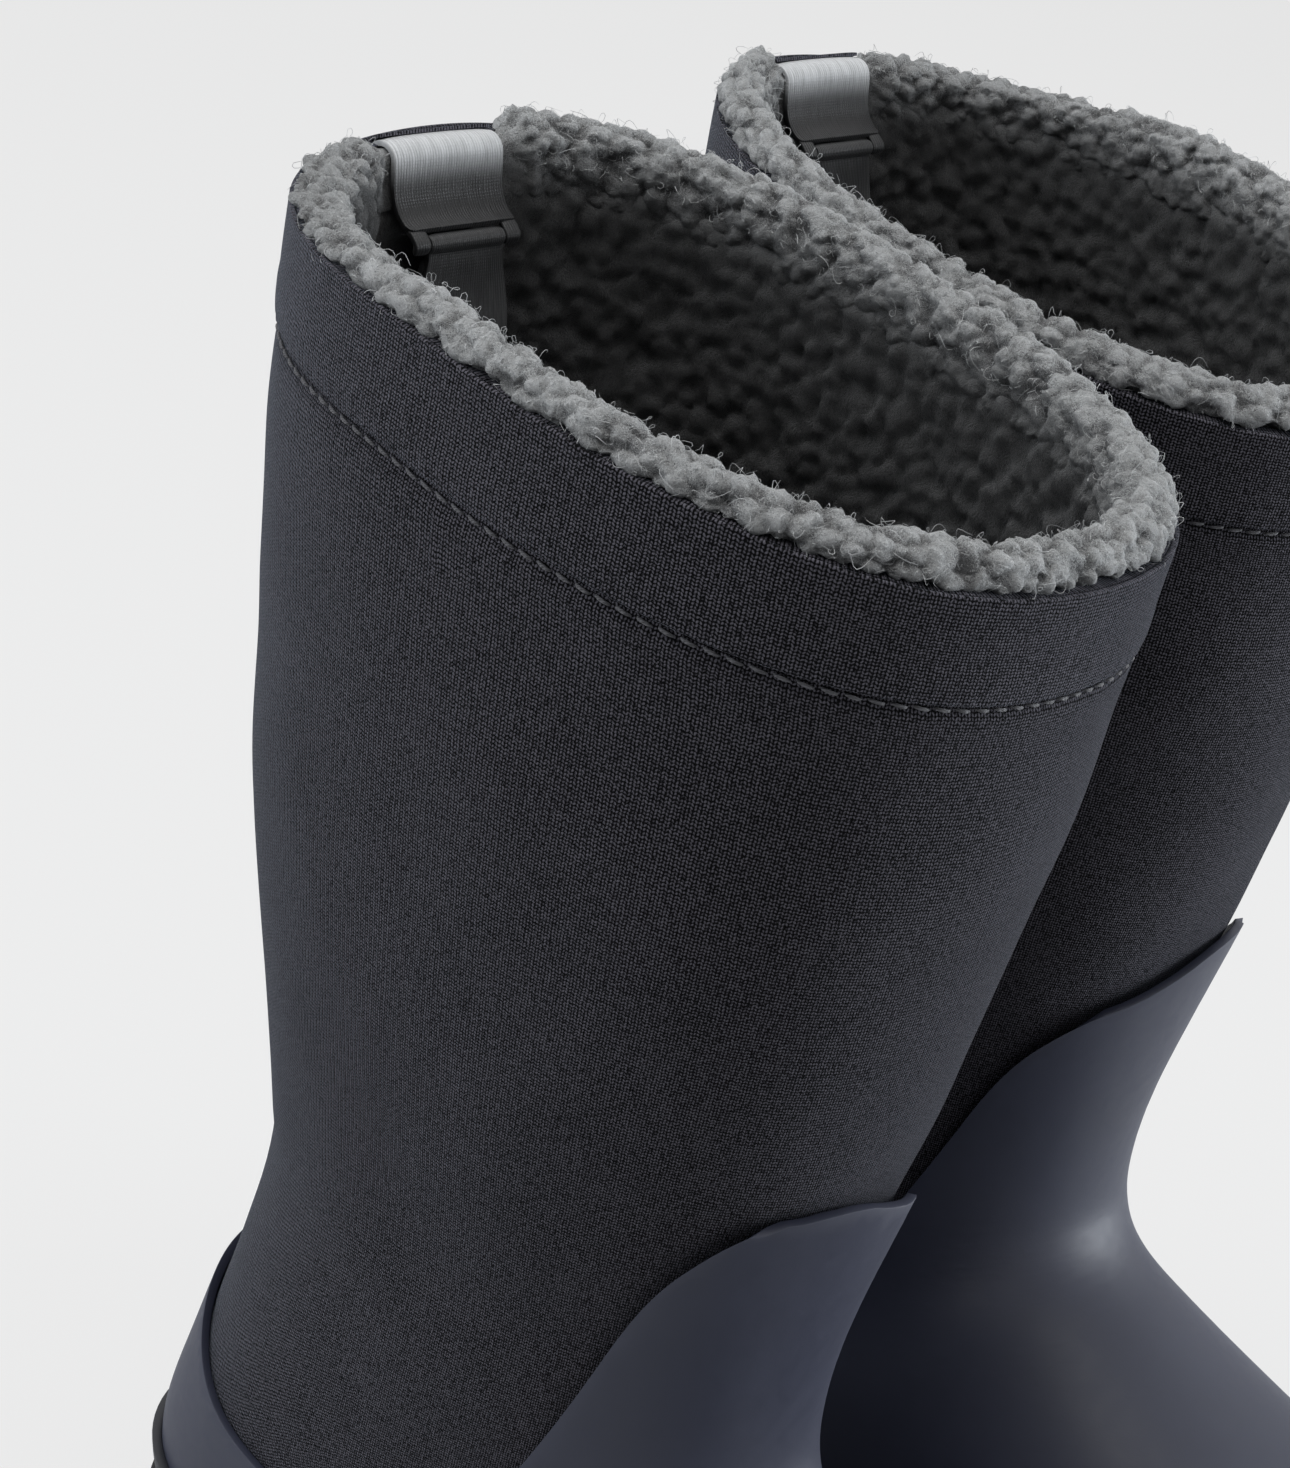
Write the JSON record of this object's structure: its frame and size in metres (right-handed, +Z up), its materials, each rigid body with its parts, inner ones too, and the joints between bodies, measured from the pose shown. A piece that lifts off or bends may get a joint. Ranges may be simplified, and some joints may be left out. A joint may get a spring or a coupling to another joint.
{
  "type": "winter yard boots",
  "caption": "Pair of mid-calf pull-on winter boots: padded fabric shaft, pile lining rolled over the rim, pull loop, rubber overlays and lugged sole.",
  "frame": {"origin": "on the floor, under the middle of the pair's bounding box", "axes": "+Z up, toes towards -Y, heels towards +Y, left boot on the +X side"},
  "size_m": [0.239, 0.3212, 0.3108],
  "materials": {
    "sole_rubber": "matte moulded rubber",
    "foam": "closed-cell foam",
    "steel": "bare spring steel",
    "board": "fibre board",
    "footbed_felt": "felt over foam",
    "shaft_fabric": "fine knit over foam",
    "collar_knit": "ribbed fine knit",
    "pile": "curly pile",
    "stiffener_plastic": "thermoplastic sheet",
    "overlay_rubber": "smooth, softly glossy",
    "webbing": "woven tape",
    "thread": "bar-tacked thread"
  },
  "bodies": {
    "left_boot": {"left_outsole": "sole_rubber", "left_midsole": "foam", "left_shank": "steel", "left_insole_board": "board", "left_footbed": "footbed_felt", "left_shaft": "shaft_fabric", "left_collar_band": "collar_knit", "left_lining": "pile", "left_heel_stiffener": "stiffener_plastic", "left_toe_puff": "stiffener_plastic", "left_heel_overlay": "overlay_rubber", "left_instep_overlay": "overlay_rubber", "left_rand": "overlay_rubber", "left_toe_bumper": "overlay_rubber", "left_pull_strap": "webbing", "left_loop_tack": "thread"},
    "left_loop": {"left_pull_loop": "webbing"},
    "right_boot": {"right_outsole": "sole_rubber", "right_midsole": "foam", "right_shank": "steel", "right_insole_board": "board", "right_footbed": "footbed_felt", "right_shaft": "shaft_fabric", "right_collar_band": "collar_knit", "right_lining": "pile", "right_heel_stiffener": "stiffener_plastic", "right_toe_puff": "stiffener_plastic", "right_heel_overlay": "overlay_rubber", "right_instep_overlay": "overlay_rubber", "right_rand": "overlay_rubber", "right_toe_bumper": "overlay_rubber", "right_pull_strap": "webbing", "right_loop_tack": "thread"},
    "right_loop": {"right_pull_loop": "webbing"}
  },
  "joints": [
    {"name": "right_boot_set_aside", "type": "slide", "parent": "left_boot", "child": "right_boot", "axis": [-1, 0, 0], "range_m": [0, 0.2]},
    {"name": "left_pull_loop_swing", "type": "hinge", "parent": "left_boot", "child": "left_loop", "pos_m": [0.0602, 0.14364, 0.2879], "axis": [-1, 0, 0], "range_deg": [0, 140]},
    {"name": "right_pull_loop_swing", "type": "hinge", "parent": "right_boot", "child": "right_loop", "pos_m": [-0.0602, 0.12564, 0.2879], "axis": [-1, 0, 0], "range_deg": [0, 140]}
  ]
}
